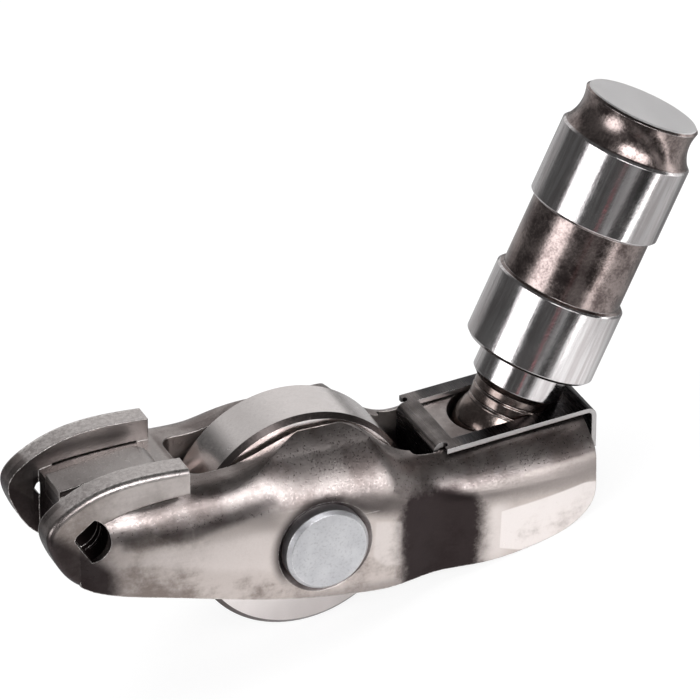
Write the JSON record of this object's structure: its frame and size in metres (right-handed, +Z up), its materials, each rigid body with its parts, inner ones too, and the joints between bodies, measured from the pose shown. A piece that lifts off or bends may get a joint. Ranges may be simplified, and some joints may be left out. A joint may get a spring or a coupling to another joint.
{
  "type": "rocker arm",
  "caption": "Roller rocker arm in formed steel with a ball-jointed hydraulic lash adjuster held by a spring clip.",
  "frame": {"origin": "on the table straight under the axle, where the roller touches it; the same line on the roller is where the cam runs", "axes": "+X towards the tail that holds the adjuster, level; +Y along the axle; +Z up, out of the web on the adjuster's side"},
  "size_m": [0.0675, 0.0174, 0.0351],
  "materials": {
    "body_steel": "case-hardened stamped steel, tumbled, satin, browned",
    "pin_steel": "hardened steel pin, matt grey ends with fine speckle",
    "roller_steel": "ground bearing steel, satin tread",
    "washer_steel": "flat steel washer",
    "clip_steel": "blued spring strip with bright sheared edges",
    "plunger_steel": "ground and polished hardened steel",
    "lifter_steel": "ground bands, browned groove and waist",
    "bearing_steel": "polished bearing steel",
    "spring_steel": "drawn spring wire and strip"
  },
  "bodies": {
    "arm": {"rocker_body": "body_steel", "axle_pin": "pin_steel", "near_side_washer": "washer_steel", "far_side_washer": "washer_steel", "retaining_clip": "clip_steel"},
    "roller": {"roller": "roller_steel"},
    "needles": {"needle_roller_01": "bearing_steel", "needle_roller_02": "bearing_steel", "needle_roller_03": "bearing_steel", "needle_roller_04": "bearing_steel", "needle_roller_05": "bearing_steel", "needle_roller_06": "bearing_steel", "needle_roller_07": "bearing_steel", "needle_roller_08": "bearing_steel", "needle_roller_09": "bearing_steel", "needle_roller_10": "bearing_steel", "needle_roller_11": "bearing_steel", "needle_roller_12": "bearing_steel", "needle_roller_13": "bearing_steel", "needle_roller_14": "bearing_steel", "needle_roller_15": "bearing_steel", "needle_roller_16": "bearing_steel", "needle_roller_17": "bearing_steel", "needle_roller_18": "bearing_steel"},
    "ball_plunger": {"plunger_ball_head": "plunger_steel"},
    "inner_plunger": {"lower_plunger": "plunger_steel", "check_valve_cage": "spring_steel", "check_ball_spring": "spring_steel"},
    "check_ball": {"check_ball": "bearing_steel"},
    "lifter": {"lifter_body": "lifter_steel", "retaining_ring": "spring_steel", "plunger_spring": "spring_steel"}
  },
  "joints": [
    {"name": "roller_spin", "type": "hinge", "parent": "arm", "child": "roller", "pos_m": [0, 0, 0.0104], "axis": [0, 1, 0], "continuous": true},
    {"name": "needle_orbit", "type": "hinge", "parent": "arm", "child": "needles", "pos_m": [0, 0, 0.0104], "axis": [0, 1, 0], "continuous": true},
    {"name": "ball_pitch", "type": "hinge", "parent": "arm", "child": "ball_plunger", "pos_m": [0.01974, 0, 0.00784], "axis": [0, -1, 0], "range_deg": [0, 42]},
    {"name": "plunger_spin", "type": "hinge", "parent": "ball_plunger", "child": "inner_plunger", "pos_m": [0.03045, 0, 0.01965], "axis": [0.6718, 0, 0.7407], "continuous": true},
    {"name": "lifter_stroke", "type": "slide", "parent": "inner_plunger", "child": "lifter", "axis": [-0.6718, 0, -0.7407], "range_m": [0, 0.0012], "stiffness_N_per_m": 2000, "springref_m": -0.004, "deforming": ["plunger_spring"]},
    {"name": "check_ball_lift", "type": "slide", "parent": "inner_plunger", "child": "check_ball", "axis": [0.6718, 0, 0.7407], "range_m": [0, 0.00025], "stiffness_N_per_m": 100, "springref_m": -0.0005, "deforming": ["check_ball_spring"]}
  ],
  "couplings": [
    {"joint": "needle_orbit", "follows": "roller_spin", "ratio": 0.58787}
  ]
}
